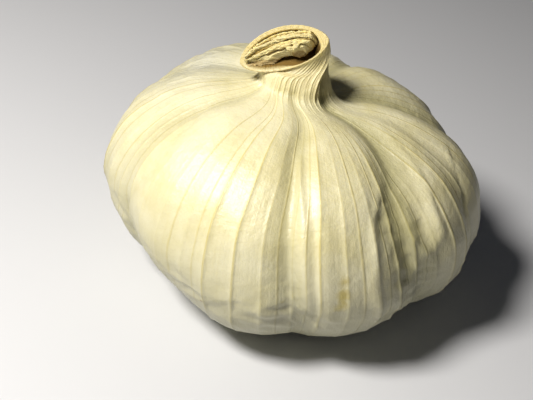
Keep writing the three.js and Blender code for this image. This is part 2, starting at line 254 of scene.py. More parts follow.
# Single dents and puffs of the loose paper: azimuth and place along the skin of the middle, half
# width in degrees, half length along the skin, and height.
DENTS = [
    (-60, 6.5, 3.0, 0.5, -0.4), (-47, 6.7, 2.6, 0.4, 0.5), (-43, 6.1, 2.6, 0.45, -0.8),
    (-38, 6.3, 2.6, 0.5, 0.5), (-50, 5.3, 3.0, 0.5, -0.5), (-46, 5.6, 2.0, 0.3, 0.4),
    (-40, 5.45, 2.6, 0.4, -0.5), (-35, 5.2, 2.8, 0.5, 0.3), (-60, 5.6, 3.0, 0.6, 0.3),
    (-92, 4.3, 3.0, 0.3, -0.5), (-97, 4.2, 2.6, 0.25, 0.35), (-83, 4.0, 2.6, 0.3, -0.4),
    (165, 7.4, 7.0, 0.35, -0.7), (152, 7.9, 6.0, 0.3, 0.6), (176, 7.9, 6.0, 0.4, 0.5),
    (120, 5.0, 4.0, 0.6, -0.5), (60, 5.6, 4.0, 0.5, -0.5), (20, 5.2, 3.5, 0.5, -0.5),
    (95, 6.8, 4.0, 0.5, 0.4), (38, 6.9, 4.0, 0.4, 0.4), (-160, 4.4, 3.5, 0.4, -0.4),
]


def noise_field(azimuth, along, per_turn, per_along, seed):
    """Soft noise over the skin, with about so many bumps to a turn and to a section."""
    angle = np.radians(azimuth)
    radius = per_turn / (2 * math.pi)
    points = np.stack([radius * np.cos(angle), radius * np.sin(angle), along * per_along], -1)
    shift = Vector((17.3 * seed, 5.1 * seed, 9.7 * seed))
    flat = [noise.noise(Vector(point) + shift) for point in points.reshape(-1, 3)]
    return np.array(flat).reshape(azimuth.shape)


def dent_relief(azimuth, along):
    relief = np.zeros(azimuth.shape)
    stray = noise_field(azimuth, along, 30, 1.6, 6)
    for middle, place, half_width, half_length, height in DENTS:
        sideways = turned_from(azimuth, middle) / half_width
        lengthwise = (along - place) / half_length
        away = np.hypot(sideways, lengthwise) + 0.9 * stray
        relief += height * np.exp(-np.maximum(away, 0) ** 2)
    return relief


def feature_relief(azimuth, along):
    relief = np.zeros(azimuth.shape)
    for feature in FEATURES:
        path = np.interp(along, feature["along"], feature["azimuth"])
        first = feature["along"][0]
        last = feature["along"][-1]
        begins = smooth(first - 0.6, first + 0.5, along)
        ends = 1 - smooth(last - 0.5, last + 0.6, along)
        window = begins * ends
        away = turned_from(azimuth, path) / feature["half"]
        relief += feature["height"] * window * np.exp(-away ** 2)
    return relief


def loose_behind(azimuth, along):
    """How loose the puffed outer skin lies, behind on the left."""
    return np.exp(-(turned_from(azimuth, 160) / 26) ** 2) * np.exp(-((along - 7.6) / 1.0) ** 2)


# Creases that cross the veins: their path as azimuths and places along the skin, their half width
# along it, how far they stand out, and how far the skin below them lies back.
CREASES = [
    {"azimuth": (-128, -116, -105, -90, -82, -74), "along": (3.3, 3.75, 4.4, 4.35, 4.2, 3.9),
     "half": 0.06, "height": 0.14, "step": 0.14},
    {"azimuth": (-100, -94, -90, -86), "along": (4.15, 3.95, 4.1, 3.75),
     "half": 0.06, "height": 0.16, "step": 0.06},
    {"azimuth": (-60, -54, -48, -42), "along": (6.9, 6.4, 6.0, 5.3),
     "half": 0.16, "height": 0.3, "step": 0.0},
    {"azimuth": (-52, -46, -40, -34), "along": (5.0, 5.5, 5.7, 6.4),
     "half": 0.18, "height": 0.22, "step": 0.0},
    {"azimuth": (-24, -18, -10, -4), "along": (5.3, 6.2, 7.1, 7.4),
     "half": 0.08, "height": 0.3, "step": 0.3},
]

# How far along the skin the drop below a crease takes to fade out.
SHELF_LENGTH = 0.8


def crease_relief(azimuth, along):
    relief = np.zeros(azimuth.shape)
    for crease in CREASES:
        turned = (azimuth + 180) % 360 - 180
        path = np.interp(turned, crease["azimuth"], crease["along"])
        first = crease["azimuth"][0]
        last = crease["azimuth"][-1]
        window = smooth(first - 3, first + 3, turned) * (1 - smooth(last - 3, last + 3, turned))
        below = (path - along) / crease["half"]
        ridge = crease["height"] * np.exp(-below ** 2)
        fading = np.exp(-np.maximum(below, 0) * crease["half"] / SHELF_LENGTH)
        shelf = crease["step"] * smooth(-1, 1, below) * fading
        relief += window * (ridge - shelf)
    return relief


def ridged(field):
    """Turns soft noise into sharp creases between flat facets."""
    return 0.5 - 1.6 * np.abs(field)


# The fine relief of the skin: raised veins, paper sagging between them, pleats in the neck, slack
# dents, and small cross crinkles where the paper is drawn in low down and in the furrows, and where
# it lies loose behind.
def skin_relief(azimuth, along, to_vein, vein_height, sag):
    on_body = 1 - smooth(9.5, 11.5, along)
    at_foot = smooth(0, 1.5, along)
    from_lip = 1 - 0.65 * smooth(13.8, MOUTH, along)
    low_down = 1 - smooth(2.0, 4.6, along)
    ridge = vein_height * np.exp(-(to_vein / VEIN_HALF_WIDTH) ** 2) * on_body * at_foot
    ridge = ridge * (1 - 0.6 * low_down) * (1 - 0.5 * smooth(7.2, 10, along))
    slack = -sag * np.sin(math.pi * to_vein) ** 2 * on_body * (1 - low_down)
    pleat_wave = 0.6 * np.cos(2 * math.pi * to_vein) + 0.5 * np.cos(4 * math.pi * to_vein)
    uneven = 0.9 + 0.8 * noise_field(azimuth, along, 26, 0.25, 5)
    pleat = (0.03 + 0.3 * vein_height) * uneven * pleat_wave * smooth(9.2, 11.5, along) * from_lip
    dents = 0.5 * noise_field(azimuth, along, 14, 0.8, 1) * on_body * smooth(1, 3, along)
    furrow = furrow_depth(wandering(azimuth, along), along)
    loose_back = loose_behind(azimuth, along)
    drawn_in = np.exp(-((along - 3.9) / 0.8) ** 2)
    slackness = 0.2 + 0.8 * smooth(0.8, 2.2, furrow) + 0.9 * drawn_in + 2.4 * loose_back
    crinkle = 0.3 * ridged(noise_field(azimuth, along, 46, 2.6, 2)) * slackness * on_body * at_foot
    fine = 0.1 * noise_field(azimuth, along, 150, 5.5, 3) * slackness * at_foot * from_lip
    folds = feature_relief(azimuth, along) + crease_relief(azimuth, along)
    folds = (folds + dent_relief(azimuth, along)) * on_body
    return ridge + slack + pleat + dents + crinkle + fine + folds + 0.5 * loose_back


def between_veins(values, vein, to_vein):
    """Each vein's value, blended with the next vein's over the paper between them."""
    neighbour = (vein + np.where(to_vein < 0, -1, 1)) % VEINS
    share = np.abs(to_vein)
    return values[vein] * (1 - share) + values[neighbour] * share


# Rows of points from the floor of the mouth, up its wall, over the lip, down the outside to the
# foot, and in to the middle of the recess over the root plate.
inner_rows = [(MOUTH_FLOOR, math.inf)]
inner_rows += [(MOUTH_FLOOR, SKIN_WALL + share) for share in (1.2, 0.7, 0.35, 0.15)]
inner_rows += [(along, SKIN_WALL) for along in np.linspace(MOUTH_FLOOR + 0.1, MOUTH - 0.12, 8)]
LIP_LAYERS = [
    (0.96, 0.12), (0.86, 0.02), (0.72, 0.0), (0.65, 0.11), (0.58, 0.01),
    (0.42, 0.0), (0.36, 0.1), (0.3, 0.0), (0.14, 0.0), (0.05, 0.06),
]
lip_rows = [(MOUTH - drop, SKIN_WALL * share) for share, drop in LIP_LAYERS]
outer_rows = [(along, 0.0) for along in np.linspace(MOUTH - 0.12, 10, 42)]
outer_rows += [(along, 0.0) for along in np.linspace(10, 0, 142)[1:]]
foot_rows = [(-1.0, reach) for reach in (RECESS_RADIUS, 0.98 * RECESS_RADIUS, 6.0, 3.0, 0.0)]
skin_rows = inner_rows + lip_rows + outer_rows + foot_rows
columns = VEINS * len(VEIN_COLUMNS)

draw = random.Random(11)
vein_shifts = np.array([0.3 * (draw.random() - 0.5) for _ in range(VEINS)])
vein_heights = np.array([draw.choice([0.1, 0.16, 0.24, 0.3]) for _ in range(VEINS)])
vein_sags = np.array([draw.uniform(0.02, 0.12) for _ in range(VEINS)])

column = np.arange(columns)
column_vein = column // len(VEIN_COLUMNS)
column_share = np.array(VEIN_COLUMNS)[column % len(VEIN_COLUMNS)]
row_along = np.array([row[0] for row in skin_rows], float)
along_grid, column_grid = np.meshgrid(row_along, column, indexing="ij")
skin_along = np.maximum(along_grid, 0)
gathered = smooth(9, 12, skin_along)
vein_grid = column_vein[column_grid]
share_grid = column_share[column_grid]
shift_grid = between_veins(vein_shifts, vein_grid, share_grid) * (1 - gathered)
azimuth_grid = (vein_grid + shift_grid + share_grid) * 360 / VEINS
wave = 1.3 * noise_field(azimuth_grid, skin_along, 9, 0.5, 4)
wave = wave * smooth(1, 3, skin_along) * (1 - gathered)
azimuth_grid = azimuth_grid + wave
height_grid = between_veins(vein_heights, vein_grid, share_grid)
sag_grid = between_veins(vein_sags, vein_grid, share_grid)
relief_grid = skin_relief(azimuth_grid, skin_along, share_grid, height_grid, sag_grid)
inset = np.array([row[1] for row in skin_rows])
wall_grid = np.where(np.isfinite(inset), inset, 0)[:, None]
mouth_turn = np.radians(azimuth_grid + twist_at(MOUTH))
thinner_below = 0.7 * smooth(0.3, -0.6, np.sin(mouth_turn))
thicker_right = 1.3 * np.maximum(0, np.cos(mouth_turn)) ** 6
lip_share = 1 - thinner_below + thicker_right
wall_grid = wall_grid * np.where((along_grid > 9) & (wall_grid <= SKIN_WALL), lip_share, 1)
points = skin_points(azimuth_grid, skin_along, relief_grid - np.where(along_grid < 0, 0, wall_grid))
under = along_grid < 0
under_turn = np.radians(azimuth_grid + LEAN)
under_reach = np.broadcast_to(wall_grid, under.shape)
under_x = under_reach * np.cos(under_turn)
under_y = under_reach * np.sin(under_turn)
recess = np.full(under.shape, RECESS_HEIGHT)
under_points = np.stack([under_x, under_y, recess], -1)
points = np.where(under[..., None], under_points, points)
floor_middle = section_at(np.array([MOUTH_FLOOR]))
_, floor_deep, _ = ring_axes(floor_middle)
pocket_floor = np.array([floor_middle[key][0] for key in "xyz"])
pocket_floor = pocket_floor + bow_at(MOUTH_FLOOR) * floor_deep[0]

bpy.ops.object.select_all(action="DESELECT")
bpy.ops.mesh.primitive_uv_sphere_add(segments=columns, ring_count=len(skin_rows) - 1, radius=1)
skin = bpy.context.object
skin.name = "papery_skin"
mesh = skin.data
ball = np.empty(len(mesh.vertices) * 3)
mesh.vertices.foreach_get("co", ball)
ball = ball.reshape(-1, 3)
down_ball = np.arccos(np.clip(ball[:, 2], -1, 1)) / math.pi
row_of = np.rint(down_ball * (len(skin_rows) - 1)).astype(int)
round_ball = np.arctan2(ball[:, 1], ball[:, 0]) / (2 * math.pi)
column_of = np.rint(round_ball * columns).astype(int) % columns
placed = points[row_of, column_of]
placed[row_of == 0] = pocket_floor
mesh.vertices.foreach_set("co", (placed * MILLIMETRE).ravel())


# Each point's place on the skin, kept for the material: how near a vein, how deep in a furrow, how
# loose the skin lies there, and how far up it is.
def keep_on_points(mesh, name, values):
    layer = mesh.attributes.new(name, "FLOAT", "POINT")
    layer.data.foreach_set("value", np.ascontiguousarray(values, dtype=np.float32))


vein_near = np.maximum(0, 1 - np.abs(share_grid) / 0.12) * (0.4 + 2 * vein_heights[vein_grid])
keep_on_points(mesh, "vein", vein_near[row_of, column_of])
minor_near = np.maximum(0, 1 - (0.5 - np.abs(share_grid)) / 0.14)
minor_near = minor_near * (vein_sags[vein_grid] > MINOR_VEIN_SAG)
keep_on_points(mesh, "minor_vein", minor_near[row_of, column_of])
furrow_grid = furrow_depth(wandering(azimuth_grid, skin_along), skin_along)
keep_on_points(mesh, "furrow", furrow_grid[row_of, column_of] / FURROW_FULL_SHADE)
loose_grid = 0.8 * loose_behind(azimuth_grid, skin_along)
keep_on_points(mesh, "loose", loose_grid[row_of, column_of])
keep_on_points(mesh, "up_skin", skin_along[row_of, 0] / MOUTH)
down_mouth = smooth(MOUTH - 0.1, MOUTH - 0.7, skin_along[row_of, 0])
keep_on_points(mesh, "inside_mouth", down_mouth * (row_of < len(inner_rows)))
turns = azimuth_grid[row_of, column_of] / 360 * VEINS
strands = mesh.attributes.new("strands", "FLOAT_VECTOR", "POINT")
angle = turns / VEINS * 2 * math.pi
strand_points = np.stack([np.cos(angle), np.sin(angle), skin_along[row_of, 0] / MOUTH], -1)
strands.data.foreach_set("vector", np.ascontiguousarray(strand_points, dtype=np.float32).ravel())
mesh.update()
bpy.ops.object.shade_smooth()


def linear(hex_colour):
    parts = [int(hex_colour[i:i + 2], 16) / 255 for i in (1, 3, 5)]
    return (*[c / 12.92 if c <= 0.04045 else ((c + 0.055) / 1.055) ** 2.4 for c in parts], 1.0)


def add_node(tree, kind, settings=None, links=None):
    """Adds a node, sets its properties and sockets, and links sockets from other nodes' outputs."""
    node = tree.nodes.new(kind)
    for key, value in (settings or {}).items():
        if isinstance(key, int) or key in node.inputs:
            node.inputs[key].default_value = value
        else:
            setattr(node, key, value)
    for key, source in (links or {}).items():
        tree.links.new(source, node.inputs[key])
    return node


def new_material(name, roughness, **sockets):
    material = bpy.data.materials.new(name)
    material.use_nodes = True
    shader = material.node_tree.nodes["Principled BSDF"]
    shader.inputs["Roughness"].default_value = roughness
    for key, value in sockets.items():
        shader.inputs[key.replace("_", " ")].default_value = value
    return material, material.node_tree, shader


def ramp(tree, source, stops):
    """A colour or value ramp over a source from stops of position and colour."""
    node = add_node(tree, "ShaderNodeValToRGB", links={0: source})
    while len(node.color_ramp.elements) < len(stops):
        node.color_ramp.elements.new(0.5)
    for element, (position, colour) in zip(node.color_ramp.elements, stops):
        element.position = position
        element.color = colour
    return node.outputs[0]


def grey(value):
    return (value, value, value, 1)


def mix(tree, factor, first, second, blend="MIX"):
    node = add_node(tree, "ShaderNodeMix", {"data_type": "RGBA", "blend_type": blend})
    for key, source in ((0, factor), (6, first), (7, second)):
        if isinstance(source, (int, float, tuple)):
            node.inputs[key].default_value = source
        else:
            tree.links.new(source, node.inputs[key])
    return node.outputs[2]


# Dried bulb skin: thin cellulose paper, cream white with straw veins, a soft satin sheen, and a
# little light passing through it. Fibres run along it, a few to the millimetre.
CREAM = linear("#EEE8C3")
WARM_CREAM = linear("#E1D9AA")
VEIN_STRAW = linear("#D6C678")
LOOSE_GREY = linear("#D3D2C2")
BASE_SHADE_GREY = linear("#9C9A83")
MOUTH_SHADE_BROWN = linear("#806636")
FURROW_SHADE_OLIVE = linear("#A5A070")
NECK_STRAW = linear("#E0CE8E")
STAIN_BROWN = linear("#8A6A35")
RUB_YELLOW = linear("#B3A03A")

paper, tree, shader = new_material("dried_bulb_skin", 0.4, Subsurface_Weight=0.15,
                                   Subsurface_Scale=0.0015)
shader.inputs["Subsurface Radius"].default_value = (1.0, 0.9, 0.55)
strand = add_node(tree, "ShaderNodeAttribute", {"attribute_name": "strands"}).outputs["Vector"]
coarse_map = add_node(tree, "ShaderNodeMapping", {"Scale": (55, 55, 5)}, {"Vector": strand})
fibre = add_node(tree, "ShaderNodeTexNoise", {"Scale": 1.0, "Detail": 4.0, "Roughness": 0.65},
                 {"Vector": coarse_map.outputs[0]})
fine_map = add_node(tree, "ShaderNodeMapping", {"Scale": (130, 130, 9)}, {"Vector": strand})
fine_fibre = add_node(tree, "ShaderNodeTexNoise", {"Scale": 1.0, "Detail": 3.0, "Roughness": 0.6},
                      {"Vector": fine_map.outputs[0]})
place = add_node(tree, "ShaderNodeTexCoord").outputs["Object"]
pucker = add_node(tree, "ShaderNodeTexNoise", {"Scale": 550.0, "Detail": 5.0, "Roughness": 0.65},
                  {"Vector": place})
cloud = add_node(tree, "ShaderNodeTexNoise", {"Scale": 130.0, "Detail": 5.0, "Roughness": 0.6},
                 {"Vector": place})
cloudy = ramp(tree, cloud.outputs[0], [(0.38, grey(0)), (0.62, grey(1))])
base = mix(tree, cloudy, CREAM, WARM_CREAM)
streaks = ramp(tree, fibre.outputs[0], [(0.52, grey(0)), (0.8, grey(0.2))])
base = mix(tree, streaks, base, VEIN_STRAW)
vein = add_node(tree, "ShaderNodeAttribute", {"attribute_name": "vein"}).outputs["Fac"]
vein_tint = ramp(tree, vein, [(0.5, grey(0)), (0.95, grey(0.8))])
base = mix(tree, vein_tint, base, VEIN_STRAW)
minor_vein = add_node(tree, "ShaderNodeAttribute", {"attribute_name": "minor_vein"}).outputs["Fac"]
minor_line = ramp(tree, minor_vein, [(0.55, grey(0)), (0.95, grey(0.5))])
base = mix(tree, minor_line, base, VEIN_STRAW)
# Painted shade: the furrows between the cloves are tinted dark olive grey, more strongly the deeper
# they are.
furrow = add_node(tree, "ShaderNodeAttribute", {"attribute_name": "furrow"}).outputs["Fac"]
furrow_shade = ramp(tree, furrow, [(0.2, grey(0)), (1.0, grey(0.75))])
base = mix(tree, furrow_shade, base, FURROW_SHADE_OLIVE)
up_skin = add_node(tree, "ShaderNodeAttribute", {"attribute_name": "up_skin"}).outputs["Fac"]
neck_tint = ramp(tree, up_skin,
                 [(0.66, grey(0)), (0.78, grey(0.45)), (0.97, grey(0.6)), (0.995, grey(1))])
base = mix(tree, neck_tint, base, NECK_STRAW)
loose = add_node(tree, "ShaderNodeAttribute", {"attribute_name": "loose"}).outputs["Fac"]
base = mix(tree, loose, base, LOOSE_GREY)
# Painted shade: the skin is greyed and darkened towards the bottom, where it turns away from the
# light.
base_shade = ramp(tree, up_skin,
                 [(0.0, grey(1)), (0.2, grey(0.85)), (0.3, grey(0.5)), (0.42, grey(0))])
base = mix(tree, base_shade, base, BASE_SHADE_GREY)
# Painted shade: inside the mouth the skin is painted dark brown, more strongly the deeper in, and
# there it has no gloss.
mouth_shade_mask = add_node(tree, "ShaderNodeAttribute", {"attribute_name": "inside_mouth"}).outputs["Fac"]
base = mix(tree, mouth_shade_mask, base, MOUTH_SHADE_BROWN)
mouth_matt = ramp(tree, mouth_shade_mask, [(0.0, grey(0.75)), (0.6, grey(0.0))])
tree.links.new(mouth_matt, shader.inputs["Specular IOR Level"])

# Marks where the skin was rubbed or stained: azimuth and place along the skin, radius in
# millimetres, strength and colour.
STAINS = [
    (-114, 4.46, 0.2, 0.9, STAIN_BROWN), (-114.5, 4.36, 0.16, 0.8, STAIN_BROWN),
    (-116, 3.76, 0.2, 0.7, STAIN_BROWN), (-111, 4.11, 0.14, 0.6, STAIN_BROWN),
    (-121, 4.72, 0.16, 0.6, STAIN_BROWN), (-103, 5.0, 0.12, 0.6, STAIN_BROWN),
    (-76, 4.7, 0.9, 0.6, RUB_YELLOW), (-75.5, 5.0, 1.0, 0.7, RUB_YELLOW),
    (-75, 5.35, 0.8, 0.6, RUB_YELLOW), (-92, 4.5, 0.4, 0.4, RUB_YELLOW),
    (-20, 6.47, 0.3, 0.6, STAIN_BROWN), (-8, 7.2, 0.25, 0.6, STAIN_BROWN),
    (40, 5.2, 0.6, 0.4, RUB_YELLOW), (140, 4.6, 0.2, 0.6, STAIN_BROWN),
]
for azimuth, along, radius, strength, colour in STAINS:
    middle = skin_points(np.array([float(azimuth)]), np.array([float(along)]), 0.0)[0] * MILLIMETRE
    away = add_node(tree, "ShaderNodeVectorMath", {"operation": "DISTANCE", 1: tuple(middle)},
                    {0: place})
    wobble = add_node(tree, "ShaderNodeMath", {"operation": "MULTIPLY_ADD", 1: -0.0025 * radius},
                      {0: pucker.outputs[0], 2: away.outputs["Value"]})
    near = add_node(tree, "ShaderNodeMapRange",
                    {"From Min": 0.0003 * radius, "From Max": -0.0009 * radius, "To Max": strength},
                    {"Value": wobble.outputs[0]})
    base = mix(tree, near.outputs[0], base, colour)
tree.links.new(base, shader.inputs["Base Color"])
strand_bump = add_node(tree, "ShaderNodeBump", {"Strength": 0.16, "Distance": 0.0002},
                       {"Height": fibre.outputs[0]})
fine_bump = add_node(tree, "ShaderNodeBump", {"Strength": 0.4, "Distance": 0.0001},
                     {"Height": fine_fibre.outputs[0], "Normal": strand_bump.outputs[0]})
pucker_bump = add_node(tree, "ShaderNodeBump", {"Strength": 0.6, "Distance": 0.0004},
                       {"Height": pucker.outputs[0], "Normal": fine_bump.outputs[0]})
minor_bump = add_node(tree, "ShaderNodeBump", {"Strength": 0.5, "Distance": 0.0002},
                      {"Height": minor_line, "Normal": pucker_bump.outputs[0]})
tree.links.new(minor_bump.outputs[0], shader.inputs["Normal"])
skin.data.materials.append(paper)
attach(skin, "root")
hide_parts("bulb")


# The dried leaves in the mouth: the inner coats and the dry end of the flower stalk, cut with the
# neck and shrunk into one crumpled bunch of folded straw-coloured strips. One grid, drawn over the
# mouth's own plane strip by strip, with its edge carried down into the neck.
LEAF_EDGE_X = (-6.7, -4.4, -3.2, -1.6, 0.3, 1.8, 2.8, 4.4, 5.6)
LEAF_EDGE_Y = (-0.9, -2.0, -1.85, -1.15, -1.0, -1.4, -1.25, -0.35, 0.5)
STRIPS = [
    {"level": -1.3, "out": -0.1, "swing": 0.1, "waves": 0.9, "phase": 0.2},
    {"level": -0.45, "out": 0.55, "swing": 0.16, "waves": 0.55, "phase": 1.3},
    {"level": 0.3, "out": 0.25, "swing": 0.14, "waves": 0.8, "phase": 2.9},
    {"level": 0.85, "out": 0.75, "swing": 0.12, "waves": 0.7, "phase": 0.7},
    {"level": 1.55, "out": 0.3, "swing": 0.1, "waves": 1.1, "phase": 4.0},
    {"level": 1.95, "out": 0.55, "swing": 0.08, "waves": 0.8, "phase": 5.1},
    {"level": 2.3, "out": 0.2, "swing": 0.05, "waves": 1.0, "phase": 2.2},
]
STALK_X = 1.65
STALK_Y = -0.2
LEAF_ROOM = SKIN_WALL + 0.2
LEAF_MIDDLE_X = -0.6
LEAF_REACH_X = 6.2
LEAF_THICKNESS = 0.3
LEAF_COLUMNS = 280
LEAF_ROWS = 90


def mouth_points(x, y, depth, out):
    """Places in the mouth's own plane, carried down the bent neck by their share of its depth."""
    along = MOUTH - depth * (MOUTH - MOUTH_FLOOR - 0.12)
    section = section_at(along)
    across, deep, outwards = ring_axes(section)
    _, _, _, mouth_wide, mouth_deep, _, _ = SECTIONS[MOUTH]
    bow = bow_at(along) * np.maximum(0, 1 - (x / (mouth_wide - SKIN_WALL)) ** 2)
    places = np.stack([section["x"], section["y"], section["z"]], -1)
    places = places + across * (x * section["wide"] / mouth_wide)[..., None]
    places = places + deep * (y * section["deep"] / mouth_deep + bow)[..., None]
    return places + outwards * (out * (1 - depth))[..., None]


def plane_noise(x, y, x_scale, y_scale, seed):
    """Soft noise over a flat place, at its own scale each way."""
    places = zip(x.ravel() * x_scale, y.ravel() * y_scale)
    flat = [noise.noise(Vector((a, b, 13.7 * seed))) for a, b in places]
    return np.array(flat).reshape(x.shape)


across_steps = np.linspace(-1, 1, LEAF_COLUMNS)
up_steps = np.linspace(0, 1, LEAF_ROWS)
share_across, share_up = np.meshgrid(across_steps, up_steps, indexing="ij")
leaf_x = LEAF_MIDDLE_X + LEAF_REACH_X * share_across
low_edge = np.interp(leaf_x, LEAF_EDGE_X, LEAF_EDGE_Y)
room_wide = SECTIONS[MOUTH][3] - LEAF_ROOM
room_deep = SECTIONS[MOUTH][4] - LEAF_ROOM
high_edge = room_deep * np.maximum(0, 1 - (leaf_x / room_wide) ** 2) ** 0.575
high_edge = np.maximum(high_edge, low_edge + 0.05)
leaf_y = low_edge + (high_edge - low_edge) * share_up

# Each strip is a rounded fold between two wavering borders, some standing out and some sunk back.
squeeze = np.clip((high_edge + 0.2) / 2.6, 0.3, 1.1)
fold_y = leaf_y / squeeze + 0.35 * plane_noise(leaf_x, leaf_y, 0.45, 0.5, 1)
fold_y = fold_y + 0.12 * plane_noise(leaf_x, leaf_y, 1.6, 1.4, 2)
leaf_out = np.full(leaf_x.shape, -0.4)
slit = np.ones(leaf_x.shape)
tone = np.zeros(leaf_x.shape)
tops = [strip["level"] for strip in STRIPS[1:]] + [3.2]
for number, (strip, top) in enumerate(zip(STRIPS, tops)):
    half = 0.5 * (top - strip["level"]) + 0.03
    swing = strip["swing"] * np.sin(strip["waves"] * leaf_x + strip["phase"])
    middle = strip["level"] + half + swing
    up_fold = (fold_y - middle) / half
    crest = np.sqrt(np.maximum(0, 1 - np.where(up_fold < 0, up_fold ** 4, up_fold ** 2)))
    rise = strip["out"] + 0.28 * plane_noise(leaf_x, np.zeros(leaf_x.shape), 0.5, 1, 3 + number)
    fold_out = np.where(crest > 0, rise - 0.6 + 0.6 * crest, -9)
    slit = np.where(fold_out > leaf_out, np.minimum(1, 1.6 * (1 - crest)), slit)
    tone = np.where(fold_out > leaf_out, (number * 0.37) % 1, tone)
    leaf_out = np.maximum(leaf_out, fold_out)

# The stalk's dry end: a crumpled lump among the strips, with its small hole.
from_stalk = np.hypot((leaf_x - STALK_X) / 1.25, (leaf_y - STALK_Y) / 0.95)
lump = 0.75 * np.sqrt(np.maximum(0, 1 - (from_stalk / 1.05) ** 2))
lump = lump - 0.9 * np.exp(-(from_stalk / 0.2) ** 2)
around_stalk = np.arctan2(leaf_y - STALK_Y, leaf_x - STALK_X)
lump = lump + 0.12 * ridged(plane_noise(np.cos(around_stalk), np.sin(around_stalk), 2.6, 2.6, 12))
on_stalk = 1 - smooth(0.9, 1.05, from_stalk)
leaf_out = leaf_out * (1 - on_stalk) + np.maximum(leaf_out - 1.2, lump) * on_stalk
# The stalk's hole is marked as a slit as well, so that it gets the painted shade.
slit = slit * (1 - on_stalk) + np.exp(-(from_stalk / 0.26) ** 2) * on_stalk
crumple = 0.3 * ridged(plane_noise(leaf_x, fold_y, 0.8, 2.2, 13))
crumple = crumple + 0.16 * ridged(plane_noise(leaf_x, fold_y, 1.6, 5.0, 14))
leaf_out = leaf_out + crumple + 0.08 * ridged(plane_noise(leaf_x, leaf_y, 4.5, 7, 15))
to_edge = np.minimum(np.minimum(share_up, 1 - share_up) * 9, (1 - np.abs(share_across)) * 14)
rounded = np.sqrt(np.clip(to_edge, 0, 1))
leaf_points = mouth_points(leaf_x, leaf_y, 0.5 * (1 - rounded), leaf_out - 0.3 * (1 - rounded))

bpy.ops.object.select_all(action="DESELECT")
bpy.ops.mesh.primitive_grid_add(
    x_subdivisions=LEAF_COLUMNS - 1, y_subdivisions=LEAF_ROWS - 1, size=2)
leaves = bpy.context.object
leaves.name = "dried_neck_leaves"
mesh = leaves.data
flat = np.empty(len(mesh.vertices) * 3)
mesh.vertices.foreach_get("co", flat)
flat = flat.reshape(-1, 3)
column_of = np.rint((flat[:, 0] + 1) / 2 * (LEAF_COLUMNS - 1)).astype(int)
row_of = np.rint((flat[:, 1] + 1) / 2 * (LEAF_ROWS - 1)).astype(int)
mesh.vertices.foreach_set("co", (leaf_points[column_of, row_of] * MILLIMETRE).ravel())
keep_on_points(mesh, "slit", slit[column_of, row_of])
keep_on_points(mesh, "tone", tone[column_of, row_of])
leaf_strand = mesh.attributes.new("strands", "FLOAT_VECTOR", "POINT")
strand_points = np.stack([leaf_x, fold_y, tone * 9], -1)[column_of, row_of]
strand_points = np.ascontiguousarray(strand_points, dtype=np.float32)
leaf_strand.data.foreach_set("vector", strand_points.ravel())
mesh.update()
bpy.ops.object.modifier_add(type="SOLIDIFY")
leaves.modifiers["Solidify"].thickness = LEAF_THICKNESS * MILLIMETRE
leaves.modifiers["Solidify"].offset = -1
bpy.ops.object.modifier_apply(modifier="Solidify")
bpy.ops.object.shade_smooth()

# Dried leaf: brittle straw-coloured paper, matt on the folds, with painted shade going brown down in
# the slits between the strips, and fibres along each strip.
leaf_paper, tree, shader = new_material("dried_straw_leaf", 0.65, Subsurface_Weight=0.1,
                                        Subsurface_Scale=0.001)
shader.inputs["Subsurface Radius"].default_value = (1.0, 0.9, 0.5)
strand = add_node(tree, "ShaderNodeAttribute", {"attribute_name": "strands"}).outputs["Vector"]
strand_map = add_node(tree, "ShaderNodeMapping", {"Scale": (1.2, 14, 1)}, {"Vector": strand})
fibre = add_node(tree, "ShaderNodeTexNoise", {"Scale": 1.0, "Detail": 4.0, "Roughness": 0.6},
                 {"Vector": strand_map.outputs[0]})
streaks = ramp(tree, fibre.outputs[0],
               [(0.35, linear("#FCF0B4")), (0.55, linear("#F5DF8C")), (0.72, linear("#D8B258"))])
tone_fac = add_node(tree, "ShaderNodeAttribute", {"attribute_name": "tone"}).outputs["Fac"]
paler = ramp(tree, tone_fac, [(0.0, grey(0.55)), (1.0, grey(0.0))])
base = mix(tree, paler, streaks, linear("#F8EDBB"))
slit_fac = add_node(tree, "ShaderNodeAttribute", {"attribute_name": "slit"}).outputs["Fac"]
# Painted shade: the slits between the strips and the stalk's hole are darkened brown.
slit_shade = ramp(tree, slit_fac, [(0.5, grey(0)), (1.0, grey(0.6))])
base = mix(tree, slit_shade, base, linear("#9A7230"))
tree.links.new(base, shader.inputs["Base Color"])
fibre_bump = add_node(tree, "ShaderNodeBump", {"Strength": 0.8, "Distance": 0.0003},
                      {"Height": fibre.outputs[0]})
tree.links.new(fibre_bump.outputs[0], shader.inputs["Normal"])
leaves.data.materials.append(leaf_paper)
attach(leaves, "root")
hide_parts("neck_leaves")


# The root plate: the hard corky disc that the roots grew from. Its middle is a flat scar, which the
# bulb stands on, and round it stands a ring of wiry root stubs, trimmed short.
PLATE_PROFILE = [
    (0, 2.0), (4, 2.0), (8.3, 2.0), (8.6, 1.95), (8.85, 1.7), (8.9, 1.5), (8.75, 1.25),
    (8.5, 1.1), (7.9, 0.9), (7.3, 0.75), (6.8, 0.62), (6.4, 0.5), (5.9, 0.28), (5.5, 0.1),
    (5.2, 0.0), (4.4, 0.0), (3.5, 0.0), (2.6, 0.0), (1.7, 0.0), (0.9, 0.0), (0, 0.0),
]
PLATE_COLUMNS = 144
ROOTS = 60
ROOT_RING_START = 5.9
ROOT_RING_WIDTH = 2.2
GOLDEN_ANGLE = math.pi * (3 - math.sqrt(5))


def repeatable(seed):
    """A fixed run of numbers between 0 and 1 that look drawn at random."""
    largest = 2 ** 31 - 1
    state = seed
    while True:
        state = (state * 16807) % largest
        yield state / largest


